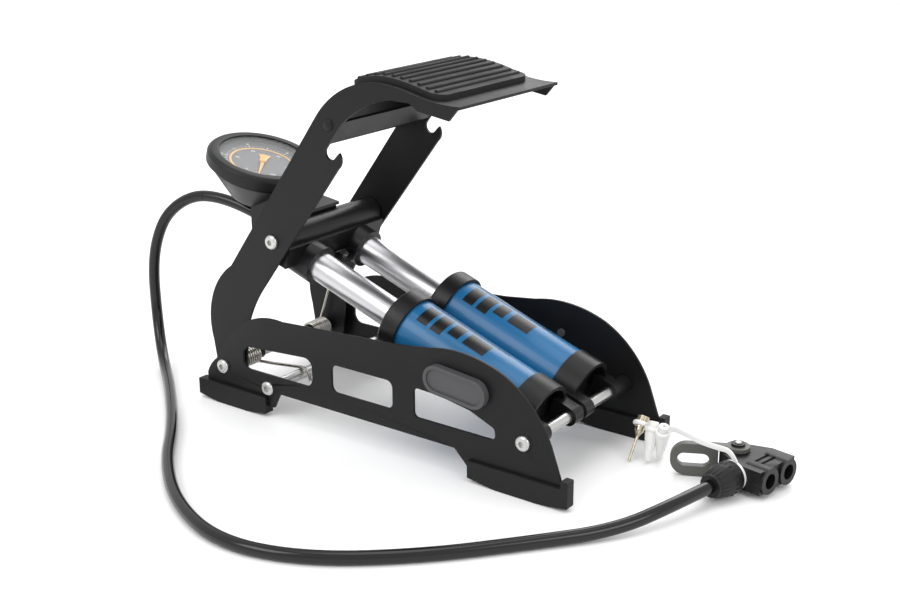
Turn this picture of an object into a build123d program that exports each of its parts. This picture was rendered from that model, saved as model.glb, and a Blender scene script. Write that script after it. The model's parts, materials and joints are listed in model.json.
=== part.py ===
from build123d import *
from math import acos, asin, atan2, cos, degrees, hypot, pi, radians, sin, sqrt, tan
import os

# A foot air pump: a folding pedal drives two barrels that lie side by side in a pressed base.
# Everything is drawn in millimetres with x = 0 and y = 0 over the middle of the rear pivot and
# z = 0 on the floor. save() then moves it, so that x = 0 is half way between the gauge's back
# and the toes of the front feet.

# ---- Base ----
BASE_WIDTH = 128.0  # over the outer faces of the two side plates
PLATE = 2.0  # sheet of the side plates
AXLE_SPAN = 269.0  # rear pivot to front axle, along x
REAR_HEIGHT = 29.6  # rear pivot above the floor
FRONT_HEIGHT = 38.3  # front axle above the floor
ANCHOR_X, ANCHOR_HEIGHT = 45.3, 22.7  # the rod that the springs hook over
ANCHOR_R = 4.2
AXLE_R = 4.0
CREST = 87.8  # highest point of a side plate
FOOT_WIDTH = 8.0
FOOT_TOP = 15.5
FOOT_GRIP = 8.0  # how far up from the floor the plate's edge sits in the foot
FOOT_REAR, FOOT_REAR_END = -25.4, 44.0
FOOT_FRONT_START, FOOT_FRONT = -43.0, 35.0  # from the front axle
FOOT_LIP = 21.0
BADGE_LENGTH, BADGE_HEIGHT, BADGE_DEPTH = 50.0, 20.0, 5.0
BADGE_PEG_R = 3.0
BADGE_BACK, BADGE_UP, BADGE_TILT = 52.3, 27.0, 6.0  # from the front axle, and degrees nose down

# ---- Screws ----
SCREW_R = 3.0
SCREW_HEAD_R, SCREW_HEAD = 5.5, 3.2
SCREW_REACH = 12.0
SOCKET_R, SOCKET_DEPTH = 2.3, 1.8

# ---- Pedal ----
ARM_SHEET = 2.0
ARM_GAP = 6.0  # between a side plate and the arm beside it
ARM_END_R = 15.5  # round the rear pivot
MIDDLE_X, MIDDLE_HEIGHT = 48.0, 132.0  # axis of the middle axle
PEDAL_X, PEDAL_HEIGHT = 148.0, 254.7  # highest line of the pedal plate
PEDAL_BEND_R = 68.0
PEDAL_REACH = 65.0  # plate forward of its highest line
WEB_TAIL = 30.0  # plate down the arms' straight backs
ARM_SLOPE = 53.7  # degrees, the arms' backs above the floor
NOTCH_R = 4.3
PAD_WIDTH, PAD_THICK, PAD_RIB_R = 100.0, 3.6, 1.5
PAD_FRONT, PAD_BACK_TURN = 47.0, 26.0  # mm past the highest line, and degrees down the bend
PAD_CORNER_R = 9.0
BRACE_HEIGHT, BRACE_SHEET, BRACE_TAB = 20.0, 2.0, 12.0
BUSH_R = 8.0

# ---- Springs ----
WIRE_R = 1.2
COIL_R = 6.2  # of the wire's centre
COIL_START, COIL_TURNS = 28.0, 9.0  # from the middle of the pump
LEG_HEIGHT = 46.0  # spring leg up the arm

# ---- Barrels ----
AXIS_DROP = 14.4  # barrel axis below the middle axle
BARREL_R, BARREL_WALL = 22.0, 1.2
BARREL_START, BARREL_END = 21.0, 134.0  # along the barrel, from the front axle
COLLAR_R, COLLAR_START, COLLAR_END = BARREL_R + 2.5, 124.0, 138.0
COLLAR_SIDE_GAP = 3.0  # between a collar and the arm beside it
CAP_R, CAP_START, CAP_END, CAP_FLOOR = BARREL_R + 1.3, 9.0, 27.0, 3.0
EAR_R, EAR_WIDTH, EAR_ROOT = 6.5, 10.0, 14.0
WIPER = 4.0
RUNNING = 0.05  # radial clearance of a pin in its bore
SLIDING = 0.1  # radial clearance of a tube or seal that slides

# ---- Tubes and pistons ----
TUBE_R, TUBE_WALL = 11.0, 1.5
SOCKET_OUT_R, SOCKET_LENGTH, SOCKET_GRIP = 14.6, 34.0, 16.0
SOCKET_BACK = 24.6  # socket mouth below the middle axle, along the barrel
PISTON_START, PISTON_LENGTH, SEAL_LENGTH = 103.0, 10.0, 4.0
PISTON_GAP = 0.8

# ---- Head ----
HOUSING_R = 10.0
HEAD_END_GAP = 2.2  # between the arm and the head's end
BLOCK_HALF = 15.0
NECK_WIDTH, NECK_TOP, NECK_BOTTOM, NECK_REAR = 34.0, 146.5, 121.0, -11.0
GROOVE, GROOVE_DEPTH = 3.2, 3.0
COVER_SHEET = 3.0

# ---- Gauge ----
GAUGE_X, GAUGE_HEIGHT, GAUGE_TILT = -11.0, 177.0, 17.0  # middle of the rim, and degrees forward
RIM_R, RIM_OPEN_R, RIM_DEPTH = 42.5, 34.0, 10.0
CUP_DEPTH, CUP_WALL, CUP_FOOT_R = 35.0, 2.2, 20.0
RIM_GRIP = 4.0  # the rim's wall outside the cup
DIAL_DEPTH, DIAL_SHEET = 6.5, 1.0
LENS_DEPTH, LENS_SHEET = 1.2, 1.6
MOVEMENT_R, MOVEMENT_DEPTH = 10.0, 20.0
NEEDLE_LENGTH, NEEDLE_TAIL, NEEDLE_WIDTH, NEEDLE_HUB_R, STAFF_R = 25.0, 9.0, 3.0, 3.6, 1.0
NEEDLE_REST = -53.0  # degrees about the dial's axis, from the front

# ---- Hose ----
HOSE_R = 4.4
HOSE_JOIN = 22.0  # along the second run of the route, where the ridden part ends
JOIN_GAP = 0.3
FERRULE_R, FERRULE_LENGTH = 6.2, 9.0

# ---- Twin valve head ----
VALVE_X, VALVE_Y, VALVE_TURN = AXLE_SPAN + 97.5, 44.0, -10.0  # its lever pin, and degrees about z
VALVE_MID = 12.0  # its middle above the floor
VALVE_HEIGHT, VALVE_BACK_R = 16.0, 12.0
VALVE_START, VALVE_END, VALVE_WIDTH = 14.0, 33.0, 38.0
PORT_PITCH, PORT_HOUSING_R, PORT_R, PORT_DEPTH = 20.4, 9.0, 5.2, 14.0
SEAL_DEPTH, SEAL_LARGE_R, SEAL_SMALL_R = 8.0, 3.9, 3.0
BRANCH_X, BRANCH_R, BRANCH_GAP = 10.7, 8.0, 3.2
NUT_R, NUT_TAIL_R, NUT_LENGTH, NUT_GRIP, NUT_RIBS = 11.0, 7.6, 22.0, 8.0, 18
LEVER_LENGTH, LEVER_THICK, LEVER_ANGLE = 44.0, 6.0, 207.0
CHEEK_R, CHEEK_SHEET = 8.0, 3.2
LEVER_END_R = 11.0
LOOP_LENGTH, LOOP_WIDTH = 21.0, 9.0
PIN_R, PIN_HEAD_R, PIN_HEAD = 2.5, 4.6, 1.4

# ---- Adaptors on their strap ----
STRAP_R, STRAP_RING_R, STRAP_LIFT = 1.3, 10.4, 28.5
HOLDER_R, HOLDER_HEIGHT = 5.6, 3.0
NEEDLE_X, CONE_X, LAST_X = AXLE_SPAN + 28, AXLE_SPAN + 39, AXLE_SPAN + 43
NEEDLE_TIP, NEEDLE_TOP = (NEEDLE_X, 23, 1.2), (NEEDLE_X, 42, 27)
CONE_TIPS = ((CONE_X, 28, 2.2), (LAST_X, 38, 2.2))
CONE_TOPS = ((CONE_X - 1, 37.5, 27.5), (LAST_X + 5, 33.5, 28))

# ---- Worked out from the values above ----
PLATE_IN = BASE_WIDTH / 2 - PLATE
ARM_OUT = PLATE_IN - ARM_GAP
ARM_IN = ARM_OUT - ARM_SHEET
BARREL_Y = ARM_IN - COLLAR_SIDE_GAP - COLLAR_R
HEAD_HALF = ARM_IN - HEAD_END_GAP
GAUGE_BACK = GAUGE_X - RIM_R * cos(radians(GAUGE_TILT)) - RIM_DEPTH * sin(radians(GAUGE_TILT))
CENTRE_X = (GAUGE_BACK + AXLE_SPAN + FOOT_FRONT) / 2
REAR = Vector(0, 0, REAR_HEIGHT)
FRONT = Vector(AXLE_SPAN, 0, FRONT_HEIGHT)
MIDDLE = Vector(MIDDLE_X, 0, MIDDLE_HEIGHT)
TO_MIDDLE = MIDDLE - FRONT
# The barrels' axis passes AXIS_DROP under the middle axle, so it leans a little less.
LEAN = atan2(TO_MIDDLE.Z, -TO_MIDDLE.X) - asin(AXIS_DROP / TO_MIDDLE.length)
MIDDLE_S = sqrt(TO_MIDDLE.length**2 - AXIS_DROP**2)
UP_BARREL = Vector(-cos(LEAN), 0, sin(LEAN))
OFF_BARREL = Vector(sin(LEAN), 0, cos(LEAN))
MOUTH_S = MIDDLE_S - SOCKET_BACK


# ---- Helpers ----
def save(name, shape):
    """Writes one node, moved so that x = 0 is half way along the pump."""
    export_step(Pos(-CENTRE_X, 0, 0) * shape, f"parts/{name}.step")


def slab(sketch, y_low, y_high):
    """An outline drawn in x and z, thick from y_low to y_high."""
    return Pos(0, y_high, 0) * extrude(Plane.XZ * sketch, y_high - y_low)


def outline(*edges):
    return make_face(Curve() + list(edges))


def rod(at, radius, y_low, y_high):
    """A round bar along y."""
    middle = Pos(at.X, (y_low + y_high) / 2, at.Z)
    return middle * Rot(90, 0, 0) * Cylinder(radius, y_high - y_low)


def turned(*points):
    """A solid of revolution about z, from the (radius, height) corners of its half section."""
    return revolve(make_face(Plane.XZ * Polyline(*points, close=True)), Axis.Z)


def on_barrel(s, y=0.0):
    """A frame with z up along the barrel and y away from the floor, s from the front axle."""
    origin = FRONT + UP_BARREL * s + Vector(0, y, 0)
    return Plane(origin, x_dir=(0, -1, 0), z_dir=UP_BARREL).location


def both_sides(shape):
    return shape + mirror(shape, Plane.XZ)


def sides(name, shape):
    """Saves a piece and its mirror image as the two sides of the pump. Left is y below 0."""
    save(f"{name}_right", shape)
    save(f"{name}_left", mirror(shape, Plane.XZ))


# ---- Base ----
def plate_outline():
    """The side plate: rear and front ends keep their shape when the axles move apart."""
    f = AXLE_SPAN
    grip_rear = [(-18, 21), (-18, FOOT_GRIP), (50, FOOT_GRIP), (56, 20)]
    grip_front = [(f - 55, 20), (f - 43, FOOT_GRIP), (f + 28.5, FOOT_GRIP), (f + 28.5, 18)]
    return outline(
        Polyline(*grip_rear, *grip_front),
        Line((f + 28.5, 18), (f + 20.6, 39.9)),
        ThreePointArc((f + 20.6, 39.9), (f + 4.6, 64.7), (f - 17, CREST - 7.1)),
        ThreePointArc((f - 17, CREST - 7.1), (f - 42, CREST), (f - 76, CREST - 1.8)),
        Line((f - 76, CREST - 1.8), (f - 102, CREST - 5)),
        Line((f - 102, CREST - 5), (60, 76.4)),
        ThreePointArc((60, 76.4), (26.2, 70.3), (2.8, 48)),
        Line((2.8, 48), (-8.1, 34)),
        ThreePointArc((-8.1, 34), (-15.5, 26), (-18, 21)),
    )


def window(*corners, radius):
    face = make_face(Polyline(*corners, close=True))
    return fillet(face.vertices(), radius)


def plate_windows():
    f = AXLE_SPAN
    rear = window((20.5, 33), (88.5, 33), (88.5, 54.7), (20.5, 50), radius=7)
    middle = window((107, 34.5), (f - 107.5, 34.5), (f - 107.5, 55), (107, 55), radius=5)
    front = window(
        (f - 89, 34), (f - 22, 34), (f - 23, 42), (f - 43, 50), (f - 69, 54.2), (f - 89, 55.2), radius=3.4
    )
    return rear + middle + front


def badge_place():
    return Pos(AXLE_SPAN - BADGE_BACK, 0, FRONT_HEIGHT + BADGE_UP) * Rot(0, BADGE_TILT, 0)


def side_plate():
    plate = slab(plate_outline() - plate_windows(), PLATE_IN, PLATE_IN + PLATE)
    for centre in (REAR, FRONT, Vector(ANCHOR_X, 0, ANCHOR_HEIGHT)):
        plate -= rod(centre, SCREW_R, 0, BASE_WIDTH)
    return plate - badge_place() * rod(Vector(), BADGE_PEG_R, 0, BASE_WIDTH)


def foot(x_low, x_high, lip, plate):
    """A moulded strip under the plate, flat in the middle and lifting towards both ends."""
    third = (x_high - x_low) / 3.5
    sole = [(x_low, 3), (x_low + third, 0), (x_high - third, 0), (x_high, 2.6)]
    nose = [(x_high, lip), (x_high - 5.5, lip), (x_high - 5.5, FOOT_TOP)]
    tail = [(x_low, FOOT_TOP)]
    shape = make_face(Polyline(*sole, *(nose if lip > FOOT_TOP else [(x_high, FOOT_TOP)]), *tail, close=True))
    middle = PLATE_IN + PLATE / 2
    return slab(shape, middle - FOOT_WIDTH / 2, middle + FOOT_WIDTH / 2) - plate


def badge():
    face = SlotOverall(BADGE_LENGTH, BADGE_HEIGHT)
    dish = offset(SlotOverall(BADGE_LENGTH, BADGE_HEIGHT), -2.5)
    front = PLATE_IN + PLATE
    body = slab(face, front, front + BADGE_DEPTH) - slab(dish, front + BADGE_DEPTH - 1.2, front + BADGE_DEPTH)
    body += rod(Vector(), BADGE_PEG_R, PLATE_IN - 1.5, front)
    return badge_place() * body


def base():
    plate = side_plate()
    sides("side_plate", plate)
    sides("foot_rear", foot(FOOT_REAR, FOOT_REAR_END, 0, plate))
    sides("foot_front", foot(AXLE_SPAN + FOOT_FRONT_START, AXLE_SPAN + FOOT_FRONT, FOOT_LIP, plate))
    sides("badge", badge())


def drilled_rod(at, radius):
    """A bar from plate to plate with a threaded hole in each end."""
    bore = rod(at, SCREW_R, PLATE_IN + PLATE - SCREW_REACH, PLATE_IN)
    return rod(at, radius, -PLATE_IN, PLATE_IN) - both_sides(bore)


def button_screw(at, seat, reach, radius=SCREW_R):
    """A screw along y whose domed head sits on the plane y = seat."""
    shank = rod(at, radius, seat - reach, seat)
    head = rod(at, SCREW_HEAD_R, seat, seat + SCREW_HEAD)
    rim = head.edges().filter_by(GeomType.CIRCLE).sort_by(Axis.Y)[-1]
    hexagon = Pos(at.X, seat + SCREW_HEAD, at.Z) * Rot(90, 0, 0) * extrude(RegularPolygon(SOCKET_R, 6), SOCKET_DEPTH)
    return shank + (fillet(rim, SCREW_HEAD * 0.7) - hexagon)


def axles():
    anchor = Vector(ANCHOR_X, 0, ANCHOR_HEIGHT)
    save("rear_pivot_axle", drilled_rod(REAR, AXLE_R))
    save("front_axle", drilled_rod(FRONT, AXLE_R))
    save("spring_anchor_rod", drilled_rod(anchor, ANCHOR_R))
    heads = [button_screw(at, PLATE_IN + PLATE, SCREW_REACH) for at in (REAR, FRONT, anchor)]
    save("frame_screws", Compound([s for h in heads for s in (h, mirror(h, Plane.XZ))]))


# ---- Pedal ----
def bend_centre():
    return (PEDAL_X, PEDAL_HEIGHT - PEDAL_BEND_R)


def on_bend(turn, inset):
    """A point of the bend, turn degrees back from the highest line."""
    x, z = bend_centre()
    r = PEDAL_BEND_R - inset
    return (x - r * sin(radians(turn)), z + r * cos(radians(turn)))


def on_back(distance, inset):
    """A point of the arms' straight backs, distance below the bend."""
    x, z = on_bend(ARM_SLOPE, inset)
    return (x - distance * cos(radians(ARM_SLOPE)), z - distance * sin(radians(ARM_SLOPE)))


def front_curve(inset):
    """The pedal plate forward of its highest line: it dips, then turns up at the toe."""
    top = on_bend(0, inset)
    dip = (PEDAL_X + 31, PEDAL_HEIGHT - 5.1 - inset)
    toe = (PEDAL_X + PEDAL_REACH, PEDAL_HEIGHT - 8.5 - inset)
    first = ThreePointArc(top, (PEDAL_X + 16, PEDAL_HEIGHT - 1.7 - inset), dip)
    second = ThreePointArc(dip, ((dip[0] + toe[0]) / 2, PEDAL_HEIGHT - 8.0 - inset), toe)
    return first, second


def bend(inset, low=ARM_SLOPE, high=0.0):
    return ThreePointArc(on_bend(low, inset), on_bend((low + high) / 2, inset), on_bend(high, inset))


def web_strip(inner, outer):
    """The pedal plate's section between two insets from its outer face."""
    a, b = front_curve(outer)
    c, d = front_curve(inner)
    return outline(
        Line(on_back(WEB_TAIL, outer), on_back(0, outer)),
        bend(outer),
        a,
        b,
        Line(b @ 1, d @ 1),
        d,
        c,
        bend(inner),
        Line(on_back(0, inner), on_back(WEB_TAIL, inner)),
        Line(on_back(WEB_TAIL, inner), on_back(WEB_TAIL, outer)),
    )


def arm_outline():
    """One arm from the pivot to the toe, with its hook notch."""
    x, z = PEDAL_X, PEDAL_HEIGHT
    r, h = ARM_END_R, REAR_HEIGHT
    a, b = front_curve(0)
    heel = on_back(149, 0)
    return outline(
        ThreePointArc((-r, h + 2), (0, h - r), (r, h + 2)),
        Line((r, h + 2), (17.6, h + 28)),
        ThreePointArc((17.6, h + 28), (24.5, h + 46.5), (36.5, h + 65.5)),
        Line((36.5, h + 65.5), (x - 36.4, z - 61.7)),
        ThreePointArc((x - 36.4, z - 61.7), (x - 33.2, z - 55.5), (x - 34.9, z - 50.4)),
        Line((x - 34.9, z - 50.4), (x - 39, z - 54.6)),
        ThreePointArc((x - 39, z - 54.6), (x - 46.2, z - 54), (x - 46.3, z - 48.6)),
        Line((x - 46.3, z - 48.6), (x - 34.6, z - 33.1)),
        ThreePointArc((x - 34.6, z - 33.1), (x - 14.5, z - 18.1), (x + 10, z - 10.2)),
        Polyline((x + 10, z - 10.2), (x + 25, z - 10.4), (x + 32, z - 14.7), (x + 56.5, z - 18.4), b @ 1),
        b,
        a,
        bend(0),
        Line(on_bend(ARM_SLOPE, 0), heel),
        ThreePointArc(heel, (-19.9, h + 30), (-17.6, h + 15)),
        Line((-17.6, h + 15), (-r, h + 2)),
    )


def pedal_frame():
    arm = slab(arm_outline(), ARM_IN, ARM_OUT)
    arm -= rod(REAR, AXLE_R + 2.2, 0, BASE_WIDTH)
    arm -= rod(MIDDLE, SCREW_R, 0, BASE_WIDTH)
    web = slab(web_strip(ARM_SHEET, 0), -ARM_OUT, ARM_OUT)
    edge = Vector(*[(p + q) / 2 for p, q in zip(on_back(WEB_TAIL, 0), on_back(WEB_TAIL, ARM_SHEET))])
    roll = rod(Vector(edge.X, 0, edge.Y), ARM_SHEET * 0.9, -ARM_OUT, ARM_OUT)
    return both_sides(arm) + web + roll


def pedal_pad():
    """A ribbed rubber sheet on the plate, from the bend to short of the toe."""
    low = outline(
        bend(0, low=PAD_BACK_TURN),
        front_curve(0)[0],
        Line(front_curve(0)[0] @ 1, front_curve(-PAD_THICK)[0] @ 1),
        front_curve(-PAD_THICK)[0],
        bend(-PAD_THICK, low=PAD_BACK_TURN),
        Line(on_bend(PAD_BACK_TURN, -PAD_THICK), on_bend(PAD_BACK_TURN, 0)),
    )
    lower, upper = front_curve(0)[1], front_curve(-PAD_THICK)[1]
    toe = make_face(
        Curve() + [lower, upper, Line(lower @ 0, upper @ 0), Line(lower @ 1, upper @ 1)]
    )
    sheet = slab(low + toe, -PAD_WIDTH / 2, PAD_WIDTH / 2)
    reach = PAD_BACK_TURN * pi / 180 * PEDAL_BEND_R
    count = 10
    pitch = (reach + PAD_FRONT - 8) / count
    for i in range(count):
        along = 4 + pitch * (i + 0.5) - reach
        if along < 0:
            x, z = on_bend(-degrees(along / PEDAL_BEND_R), -PAD_THICK)
        else:
            curve = front_curve(-PAD_THICK)
            first = along < 31
            point = curve[0].position_at(along / 31) if first else curve[1].position_at((along - 31) / 34.2)
            x, z = point.X, point.Y
        sheet += rod(Vector(x, 0, z), PAD_RIB_R, -PAD_WIDTH / 2 + 4, PAD_WIDTH / 2 - 4)
    back = on_bend(PAD_BACK_TURN, 0)[0]
    plan = fillet(Rectangle(PEDAL_X + PAD_FRONT - back, PAD_WIDTH).vertices(), PAD_CORNER_R)
    middle = (PEDAL_X + PAD_FRONT + back) / 2
    keep = Pos(middle, 0, PEDAL_HEIGHT - 60) * extrude(plan, 90)
    return sheet & keep


def pedal_brace():
    """A flat strip between the arms behind the hooks, with a tab on each arm."""
    slope = Rot(0, -(ARM_SLOPE - 3), 0)
    place = Pos(PEDAL_X - 38.5, 0, PEDAL_HEIGHT - 36.5) * slope
    strip = Box(BRACE_HEIGHT, 2 * ARM_IN, BRACE_SHEET)
    tab = Pos(0, ARM_IN - BRACE_SHEET / 2, BRACE_TAB / 2) * Box(BRACE_HEIGHT, BRACE_SHEET, BRACE_TAB)
    return place * (strip + both_sides(tab))


def pedal():
    save("pedal_frame", pedal_frame())
    save("pedal_pad", pedal_pad())
    save("pedal_brace", pedal_brace())
    bush = rod(REAR, AXLE_R + 2.2, ARM_IN, ARM_OUT) + rod(REAR, BUSH_R, ARM_OUT, PLATE_IN - SLIDING)
    sides("pivot_bush", bush - rod(REAR, AXLE_R + RUNNING, 0, BASE_WIDTH))
    screw = button_screw(MIDDLE, ARM_OUT, ARM_SHEET)
    nut = rod(MIDDLE, SCREW_HEAD_R, ARM_IN - HEAD_END_GAP * 0.6, ARM_IN)
    save("arm_screws", Compound([screw + nut, mirror(screw + nut, Plane.XZ)]))


# ---- Springs ----
def spring():
    """A torsion spring as a plain sleeve of its coil's size, with its two legs."""
    coil_end = COIL_START + COIL_TURNS * 2 * WIRE_R + 2
    coil = rod(REAR, COIL_R + WIRE_R, COIL_START, coil_end)
    coil -= rod(REAR, COIL_R - WIRE_R, 0, BASE_WIDTH)
    over_rod = ANCHOR_HEIGHT + ANCHOR_R + WIRE_R + 0.3
    low_y = COIL_START + WIRE_R + 0.3
    low = Polyline(
        (0, low_y, REAR_HEIGHT - COIL_R),
        (ANCHOR_X - 8, low_y, over_rod - 0.8),
        (ANCHOR_X + 3, low_y, over_rod),
        (ANCHOR_X + 10, low_y, over_rod - 8),
    )
    high_y = coil_end - WIRE_R - 0.3
    leg_x, leg_z = -COIL_R, REAR_HEIGHT
    high = Polyline(
        (leg_x, high_y, leg_z),
        (leg_x + 0.32 * LEG_HEIGHT, high_y, leg_z + LEG_HEIGHT),
    )
    return coil + wire(low, WIRE_R - 0.1) + wire(high, WIRE_R - 0.1)


def wire(path, radius):
    return sweep(Plane(path @ 0, z_dir=path % 0) * Circle(radius), path=path, transition=Transition.ROUND)


def springs():
    sides("spring", spring())
    sleeve = rod(REAR, COIL_R - WIRE_R - SLIDING, COIL_START - 3, ARM_IN - 0.3)
    sides("spring_sleeve", sleeve - rod(REAR, AXLE_R, 0, BASE_WIDTH))


# ---- Barrels ----
def barrel_cap():
    """A hollow bottom cap with two ears round the front axle."""
    y = BARREL_Y
    floor = BARREL_START - CAP_FLOOR
    cap = turned((0, floor), (0, BARREL_START), (BARREL_R, BARREL_START),
                 (BARREL_R, CAP_END), (CAP_R, CAP_END), (CAP_R, CAP_START),
                 (CAP_R - 3, CAP_START), (CAP_R - 3, floor))  # fmt: skip
    cap = on_barrel(0, y) * cap
    inner = (y - COLLAR_R, y - COLLAR_R + EAR_WIDTH)
    outer = (2 * y - inner[1], 2 * y - inner[0])
    for low, high in (inner, outer):
        web = Pos(0, 0, EAR_ROOT / 2) * Box(high - low, 2 * EAR_R, EAR_ROOT)
        cap += on_barrel(0, (low + high) / 2) * web + rod(FRONT, EAR_R, low, high)
    cap += rod(FRONT, EAR_R, outer[1], PLATE_IN - 0.5)
    inside = on_barrel(BARREL_START, y) * turned(
        (0, 0), (0, 30), (BARREL_R, 30), (BARREL_R, 0)
    )
    return cap - rod(FRONT, AXLE_R + RUNNING, 0, BASE_WIDTH) - inside


def barrels():
    y = BARREL_Y
    bore = BARREL_R - BARREL_WALL
    shell = turned((bore, BARREL_START), (bore, BARREL_END), (BARREL_R, BARREL_END), (BARREL_R, BARREL_START))
    sides("barrel", on_barrel(0, y) * shell)
    lip = TUBE_R + SLIDING
    collar = turned((lip, BARREL_END), (lip, COLLAR_END), (COLLAR_R - 1.5, COLLAR_END),
                    (COLLAR_R, COLLAR_END - 1.5), (COLLAR_R, COLLAR_START),
                    (BARREL_R, COLLAR_START), (BARREL_R, BARREL_END))  # fmt: skip
    sides("barrel_collar", on_barrel(0, y) * collar)
    sides("barrel_cap", barrel_cap())
    wiper = turned((lip, BARREL_END - WIPER), (lip, BARREL_END), (bore, BARREL_END),
                   (bore, BARREL_END - WIPER))  # fmt: skip
    ring = on_barrel(0, y) * wiper
    save("rod_wipers", Compound([ring, mirror(ring, Plane.XZ)]))
    flap = on_barrel(BARREL_START, y) * turned((0, 0), (0, 1), (8, 1), (8, 0))
    save("inlet_valves", Compound([flap, mirror(flap, Plane.XZ)]))


# ---- Tubes and pistons ----
def pumping_rods():
    y = BARREL_Y
    inner = TUBE_R - TUBE_WALL
    top = MOUTH_S + SOCKET_GRIP
    low = PISTON_START
    tube = turned((inner, low), (inner, top), (TUBE_R, top), (TUBE_R, low))
    sides("tube", on_barrel(0, y) * tube)
    edge = BARREL_R - BARREL_WALL - PISTON_GAP
    piston = turned((TUBE_R, low), (TUBE_R, low + PISTON_LENGTH), (edge, low + PISTON_LENGTH),
                    (edge, low))  # fmt: skip
    sides("piston", on_barrel(0, y) * piston)
    seal_edge = BARREL_R - BARREL_WALL - SLIDING
    seal = turned((4, low - 1.5), (4, low), (seal_edge, low), (seal_edge, low - SEAL_LENGTH),
                  (seal_edge - 1.5, low - SEAL_LENGTH), (seal_edge - 1.5, low - 1.5))  # fmt: skip
    sides("cup_seal", on_barrel(0, y) * seal)
    disc = on_barrel(low + 2, y) * turned((0, 0), (0, 3), (inner, 3), (inner, 0))
    save("check_valves", Compound([disc, mirror(disc, Plane.XZ)]))


# ---- Head ----
def head_block():
    """One moulding: axle housing, block across the tubes, two sockets, neck back to the gauge."""
    housing = rod(MIDDLE, HOUSING_R, -HEAD_HALF, HEAD_HALF)
    front = MIDDLE_S - SOCKET_BACK + 11
    block = on_barrel(front + BLOCK_HALF, 0) * Pos(0, AXIS_DROP / 2 - 1, 0) * Box(
        2 * HEAD_HALF, AXIS_DROP + 2, 2 * BLOCK_HALF
    )
    body = housing + block
    for side in (-1, 1):
        body += on_barrel(MOUTH_S, side * BARREL_Y) * extrude(Circle(SOCKET_OUT_R), SOCKET_LENGTH)
    front_x = MIDDLE_X - 0.5
    neck = make_face(
        Polyline((front_x, NECK_TOP), (20, NECK_TOP + 4), (NECK_REAR, NECK_TOP),
                 (NECK_REAR, NECK_BOTTOM), (front_x, NECK_BOTTOM), close=True)  # fmt: skip
    )
    body += slab(neck, -NECK_WIDTH / 2, NECK_WIDTH / 2)
    for k in range(2):
        z = NECK_TOP - 2.2 - k * 1.4 * GROOVE
        groove = Pos(front_x, 0, z - GROOVE / 2) * Box(2 * GROOVE_DEPTH, NECK_WIDTH, GROOVE)
        body -= groove - rod(MIDDLE, HOUSING_R, -HEAD_HALF, HEAD_HALF)
    for side in (-1, 1):
        body -= on_barrel(MOUTH_S, side * BARREL_Y) * extrude(Circle(TUBE_R), SOCKET_GRIP)
        body -= on_barrel(MOUTH_S + SOCKET_GRIP, side * BARREL_Y) * extrude(Circle(TUBE_R - 3), 8)
    body -= rod(MIDDLE, AXLE_R, -HEAD_HALF, HEAD_HALF)
    outlet = hose_route()[0]
    return body - Pos(NECK_REAR, 0, outlet[2]) * Rot(0, 90, 0) * Cylinder(3, 24)


def gauge_frame():
    """z out of the dial's face, origin in the middle of the rim's top."""
    return Pos(GAUGE_X, 0, GAUGE_HEIGHT) * Rot(0, GAUGE_TILT, 0)


def head():
    save("head_block", head_block() - gauge_frame() * gauge_outside())
    save("middle_axle", rod(MIDDLE, AXLE_R, -HEAD_HALF, HEAD_HALF))
    half = BARREL_Y - SOCKET_OUT_R - 0.3
    reach = MIDDLE_S - SOCKET_BACK + 11 - MOUTH_S
    plate = on_barrel(MOUTH_S, 0) * Pos(0, -4, reach / 2) * Box(2 * half, COVER_SHEET, reach)
    rib = on_barrel(MOUTH_S, 0) * Pos(0, -7.5, reach / 2) * Box(COVER_SHEET, 7, reach)
    place = on_barrel(MOUTH_S + 5.5, 6) * Pos(0, -5.5, 0) * Rot(-90, 0, 0)
    shank = Pos(0, 0, COVER_SHEET / 2) * Cylinder(1.5, COVER_SHEET)
    screw = shank + Pos(0, 0, COVER_SHEET + 1) * Cylinder(3.2, 2)
    save("head_cover", plate + rib - place * shank)
    save("cover_screw", place * screw)


# ---- Gauge ----
def gauge_outside():
    top = RIM_R - RIM_GRIP
    return turned((0, 0), (RIM_R, 0), (RIM_R, -RIM_DEPTH), (top, -RIM_DEPTH), (top, -RIM_DEPTH - 3),
                  (CUP_FOOT_R, -CUP_DEPTH), (0, -CUP_DEPTH))  # fmt: skip


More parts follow.
